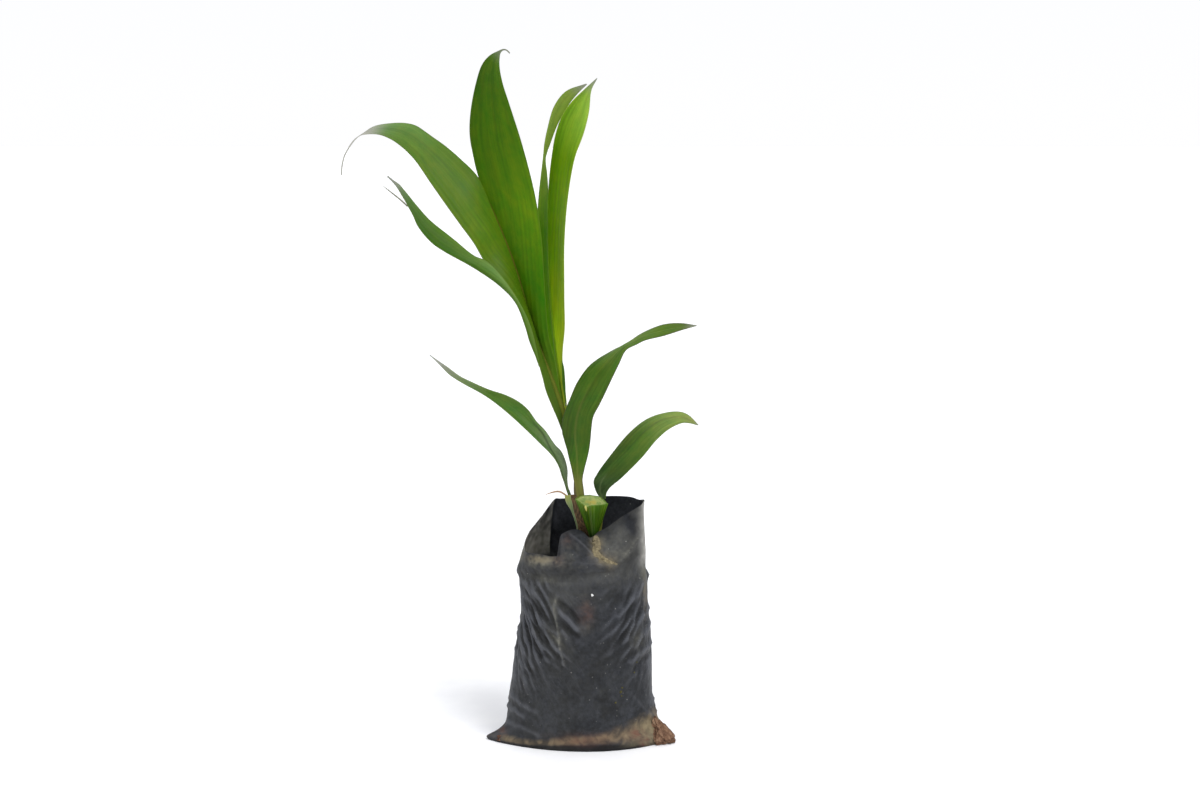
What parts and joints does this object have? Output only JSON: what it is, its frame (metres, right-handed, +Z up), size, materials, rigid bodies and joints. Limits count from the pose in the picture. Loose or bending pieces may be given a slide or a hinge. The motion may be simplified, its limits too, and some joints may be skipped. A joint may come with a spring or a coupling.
{
  "type": "potted oil palm seedling",
  "caption": "Young oil palm with long split leaves rising from a short stem, in a soft black film nursery bag of soil that stands on its flat underside.",
  "frame": {"origin": "middle of the bag's flat underside", "axes": "+Z up along the plant, +X to the right and -Y to the front, where the bag's neck is folded in"},
  "size_m": [0.2997, 0.0992, 0.5689],
  "materials": {
    "film": "thin black polythene film, creased and dusty",
    "soil": "moist brown loam with sand on top",
    "stem": "sheathed green and reddish-brown stem",
    "stalk": "smooth olive leaf stalk",
    "leaf": "satin dark green leaf with fine parallel veins",
    "young_leaf": "satin yellow-green leaf with fine parallel veins",
    "cut_leaf": "pleated pale green leaf base",
    "dry_leaf": "withered papery brown"
  },
  "bodies": {
    "root": {"bag_film": "film", "soil_fill": "soil", "stem": "stem", "tall_leaf_stalk": "stalk", "young_leaf_stalk": "stalk", "mid_right_stalk": "stalk", "low_right_stalk": "stalk", "low_left_stalk": "stalk", "tall_leaf_left_lobe": "leaf", "tall_leaf_outer_lobe": "leaf", "tall_leaf_right_lobe": "leaf", "young_leaf_left_lobe": "young_leaf", "young_leaf_right_lobe": "young_leaf", "mid_right_leaf": "leaf", "low_right_leaf": "leaf", "low_left_leaf": "leaf", "cut_leaf": "cut_leaf", "dry_scale": "dry_leaf"}
  },
  "joints": []
}
